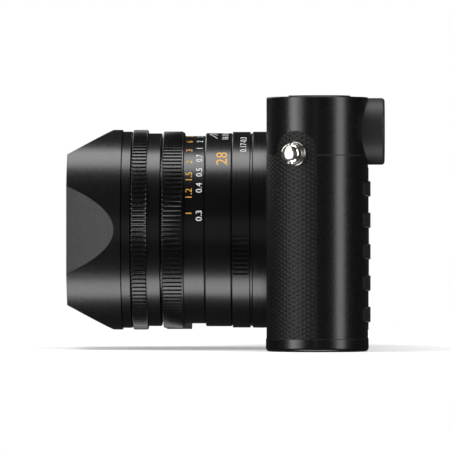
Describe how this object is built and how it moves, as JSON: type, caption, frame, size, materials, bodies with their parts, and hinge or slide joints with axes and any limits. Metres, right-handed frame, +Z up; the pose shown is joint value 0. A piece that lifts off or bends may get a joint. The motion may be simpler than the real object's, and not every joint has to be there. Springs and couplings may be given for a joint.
{
  "type": "compact camera",
  "caption": "Compact fixed-lens camera with a slanted lens hood, lens rings with scales, a round eyepiece, a hot shoe, dials, buttons and strap lugs.",
  "frame": {"origin": "centre of the tripod socket on the foot plane, under the lens axis", "axes": "+Z up, -Y the way the lens looks, +X towards the end with the eyepiece (the left hand of the person holding it)"},
  "size_m": [0.1366, 0.0986, 0.08],
  "materials": {
    "body_paint": "satin black paint",
    "lens_black": "satin black anodised",
    "knob_black": "black anodised, fine knurl",
    "hood_black": "matt black anodised",
    "leatherette": "fine diamond grain",
    "lug_chrome": "polished",
    "shoe_steel": "brushed",
    "eyepiece_black": "satin black",
    "optical_glass": "coated",
    "display_glass": "gloss black",
    "display_unit": "liquid crystal panel",
    "board": "solder mask",
    "sensor": "sensor behind its filter",
    "chassis": "bare pressing",
    "finder_case": "moulded",
    "lamp": "frosted",
    "steel": "turned",
    "screw_black": "blackened",
    "button_plastic": "satin black",
    "battery_case": "cells in a matt black case",
    "blade_steel": "blackened steel leaf",
    "cell_black": "matt black",
    "iris_plastic": "matt black"
  },
  "bodies": {
    "camera_body": {"front_shell": "body_paint", "top_cover": "body_paint", "base_plate": "body_paint", "rear_panel": "body_paint", "leatherette": "leatherette", "strap_lugs": "lug_chrome", "hot_shoe": "shoe_steel", "eyepiece_frame": "eyepiece_black", "eyepiece_glass": "optical_glass", "evf_unit": "finder_case", "lcd_window": "display_glass", "lcd_panel": "display_unit", "main_board": "board", "image_sensor": "sensor", "inner_frame": "chassis", "assist_lamp": "lamp", "tripod_socket": "steel", "cover_screws": "screw_black", "port_sockets": "steel", "battery": "battery_case", "lens_flange": "lens_black", "lens_barrel": "lens_black", "front_ring": "lens_black", "lens_hood": "hood_black", "name_ring": "cell_black", "front_element": "optical_glass", "rear_element": "optical_glass", "iris_housing": "iris_plastic"},
    "diopter_wheel": {"diopter_wheel": "knob_black"},
    "port_door": {"port_door": "body_paint"},
    "battery_door": {"battery_door": "body_paint"},
    "door_latch": {"door_latch": "button_plastic"},
    "speed_dial": {"speed_dial": "knob_black"},
    "thumb_wheel": {"thumb_wheel": "knob_black"},
    "power_lever": {"power_lever": "knob_black"},
    "shutter_button": {"shutter_button": "knob_black"},
    "video_button": {"video_button": "knob_black"},
    "direction_pad": {"direction_pad": "button_plastic"},
    "set_button": {"set_button": "button_plastic"},
    "zoom_button": {"zoom_button": "button_plastic"},
    "macro_ring": {"macro_ring": "lens_black"},
    "focus_ring": {"focus_ring": "lens_black"},
    "focus_lock_button": {"focus_lock_button": "knob_black"},
    "aperture_ring": {"aperture_ring": "lens_black"},
    "play_button": {"play_button": "button_plastic"},
    "delete_button": {"delete_button": "button_plastic"},
    "function_button": {"function_button": "button_plastic"},
    "iso_button": {"iso_button": "button_plastic"},
    "menu_button": {"menu_button": "button_plastic"},
    "iris_blade_1": {"iris_blade_1": "blade_steel"},
    "iris_blade_2": {"iris_blade_2": "blade_steel"},
    "iris_blade_3": {"iris_blade_3": "blade_steel"},
    "iris_blade_4": {"iris_blade_4": "blade_steel"},
    "iris_blade_5": {"iris_blade_5": "blade_steel"},
    "iris_blade_6": {"iris_blade_6": "blade_steel"},
    "iris_blade_7": {"iris_blade_7": "blade_steel"},
    "iris_blade_8": {"iris_blade_8": "blade_steel"},
    "iris_blade_9": {"iris_blade_9": "blade_steel"},
    "focus_cell": {"focus_cell": "cell_black", "focus_lens": "optical_glass"}
  },
  "joints": [
    {"name": "macro_turn", "type": "hinge", "parent": "camera_body", "child": "macro_ring", "pos_m": [0, 0, 0.0373], "axis": [0, -1, 0], "range_deg": [0, 30]},
    {"name": "focus_turn", "type": "hinge", "parent": "camera_body", "child": "focus_ring", "pos_m": [0, 0, 0.0373], "axis": [0, -1, 0], "range_deg": [0, 83]},
    {"name": "focus_lock_press", "type": "slide", "parent": "focus_ring", "child": "focus_lock_button", "axis": [0.8339, 0, 0.5519], "range_m": [0, 0.0005], "stiffness_N_per_m": 400},
    {"name": "focus_cell_slide", "type": "slide", "parent": "camera_body", "child": "focus_cell", "axis": [0, -1, 0], "range_m": [0, 0.0025]},
    {"name": "aperture_turn", "type": "hinge", "parent": "camera_body", "child": "aperture_ring", "pos_m": [0, 0, 0.0373], "axis": [0, -1, 0], "range_deg": [0, 80]},
    {"name": "iris_blade_1_swing", "type": "hinge", "parent": "camera_body", "child": "iris_blade_1", "pos_m": [0.0155, -0.0427, 0.0373], "axis": [0, -1, 0], "range_deg": [0, 27.1]},
    {"name": "iris_blade_2_swing", "type": "hinge", "parent": "camera_body", "child": "iris_blade_2", "pos_m": [0.01187, -0.0429, 0.04726], "axis": [0, -1, 0], "range_deg": [0, 27.1]},
    {"name": "iris_blade_3_swing", "type": "hinge", "parent": "camera_body", "child": "iris_blade_3", "pos_m": [0.00269, -0.0431, 0.05256], "axis": [0, -1, 0], "range_deg": [0, 27.1]},
    {"name": "iris_blade_4_swing", "type": "hinge", "parent": "camera_body", "child": "iris_blade_4", "pos_m": [-0.00775, -0.0433, 0.05072], "axis": [0, -1, 0], "range_deg": [0, 27.1]},
    {"name": "iris_blade_5_swing", "type": "hinge", "parent": "camera_body", "child": "iris_blade_5", "pos_m": [-0.01457, -0.0435, 0.0426], "axis": [0, -1, 0], "range_deg": [0, 27.1]},
    {"name": "iris_blade_6_swing", "type": "hinge", "parent": "camera_body", "child": "iris_blade_6", "pos_m": [-0.01457, -0.0437, 0.032], "axis": [0, -1, 0], "range_deg": [0, 27.1]},
    {"name": "iris_blade_7_swing", "type": "hinge", "parent": "camera_body", "child": "iris_blade_7", "pos_m": [-0.00775, -0.0439, 0.02388], "axis": [0, -1, 0], "range_deg": [0, 27.1]},
    {"name": "iris_blade_8_swing", "type": "hinge", "parent": "camera_body", "child": "iris_blade_8", "pos_m": [0.00269, -0.0441, 0.02204], "axis": [0, -1, 0], "range_deg": [0, 27.1]},
    {"name": "iris_blade_9_swing", "type": "hinge", "parent": "camera_body", "child": "iris_blade_9", "pos_m": [0.01187, -0.0443, 0.02734], "axis": [0, -1, 0], "range_deg": [0, 27.1]},
    {"name": "speed_dial_turn", "type": "hinge", "parent": "camera_body", "child": "speed_dial", "pos_m": [-0.0275, 0.001, 0.078], "axis": [0, 0, 1], "continuous": true},
    {"name": "thumb_wheel_turn", "type": "hinge", "parent": "camera_body", "child": "thumb_wheel", "pos_m": [-0.059, 0.007, 0.078], "axis": [0, 0, 1], "continuous": true},
    {"name": "power_lever_turn", "type": "hinge", "parent": "camera_body", "child": "power_lever", "pos_m": [-0.0485, -0.002, 0.078], "axis": [0, 0, 1], "range_deg": [0, 40]},
    {"name": "shutter_press", "type": "slide", "parent": "camera_body", "child": "shutter_button", "axis": [0, 0, -1], "range_m": [0, 0.0008], "stiffness_N_per_m": 800},
    {"name": "video_press", "type": "slide", "parent": "camera_body", "child": "video_button", "axis": [0, 0, -1], "range_m": [0, 0.0004], "stiffness_N_per_m": 400},
    {"name": "diopter_turn", "type": "hinge", "parent": "camera_body", "child": "diopter_wheel", "pos_m": [0.029, 0.0115, 0.06755], "axis": [0, 0, 1], "range_deg": [-120, 120]},
    {"name": "play_press", "type": "slide", "parent": "camera_body", "child": "play_button", "axis": [0, -1, 0], "range_m": [0, 0.0005], "stiffness_N_per_m": 400},
    {"name": "delete_press", "type": "slide", "parent": "camera_body", "child": "delete_button", "axis": [0, -1, 0], "range_m": [0, 0.0005], "stiffness_N_per_m": 400},
    {"name": "function_press", "type": "slide", "parent": "camera_body", "child": "function_button", "axis": [0, -1, 0], "range_m": [0, 0.0005], "stiffness_N_per_m": 400},
    {"name": "iso_press", "type": "slide", "parent": "camera_body", "child": "iso_button", "axis": [0, -1, 0], "range_m": [0, 0.0005], "stiffness_N_per_m": 400},
    {"name": "menu_press", "type": "slide", "parent": "camera_body", "child": "menu_button", "axis": [0, -1, 0], "range_m": [0, 0.0005], "stiffness_N_per_m": 400},
    {"name": "pad_tilt", "type": "hinge", "parent": "camera_body", "child": "direction_pad", "pos_m": [-0.042, 0.01275, 0.031], "axis": [1, 0, 0], "range_deg": [-2.5, 2.5], "stiffness_Nm_per_rad": 0.05},
    {"name": "set_press", "type": "slide", "parent": "camera_body", "child": "set_button", "axis": [0, -1, 0], "range_m": [0, 0.0004], "stiffness_N_per_m": 400},
    {"name": "zoom_press", "type": "slide", "parent": "camera_body", "child": "zoom_button", "axis": [0, -1, 0], "range_m": [0, 0.0005], "stiffness_N_per_m": 400},
    {"name": "battery_door_swing", "type": "hinge", "parent": "camera_body", "child": "battery_door", "pos_m": [-0.0245, -0.00325, 0.00095], "axis": [0, -1, 0], "range_deg": [0, 90]},
    {"name": "door_latch_slide", "type": "slide", "parent": "battery_door", "child": "door_latch", "axis": [1, 0, 0], "range_m": [0, 0.0016]},
    {"name": "port_door_swing", "type": "hinge", "parent": "camera_body", "child": "port_door", "pos_m": [-0.06272, 0.01068, 0.031], "axis": [0, 0, -1], "range_deg": [0, 85]}
  ],
  "couplings": [
    {"joint": "focus_cell_slide", "follows": "focus_turn", "m_per_rad": 0.0017258},
    {"joint": "iris_blade_1_swing", "follows": "aperture_turn", "ratio": 0.3375},
    {"joint": "iris_blade_2_swing", "follows": "aperture_turn", "ratio": 0.3375},
    {"joint": "iris_blade_3_swing", "follows": "aperture_turn", "ratio": 0.3375},
    {"joint": "iris_blade_4_swing", "follows": "aperture_turn", "ratio": 0.3375},
    {"joint": "iris_blade_5_swing", "follows": "aperture_turn", "ratio": 0.3375},
    {"joint": "iris_blade_6_swing", "follows": "aperture_turn", "ratio": 0.3375},
    {"joint": "iris_blade_7_swing", "follows": "aperture_turn", "ratio": 0.3375},
    {"joint": "iris_blade_8_swing", "follows": "aperture_turn", "ratio": 0.3375},
    {"joint": "iris_blade_9_swing", "follows": "aperture_turn", "ratio": 0.3375}
  ]
}
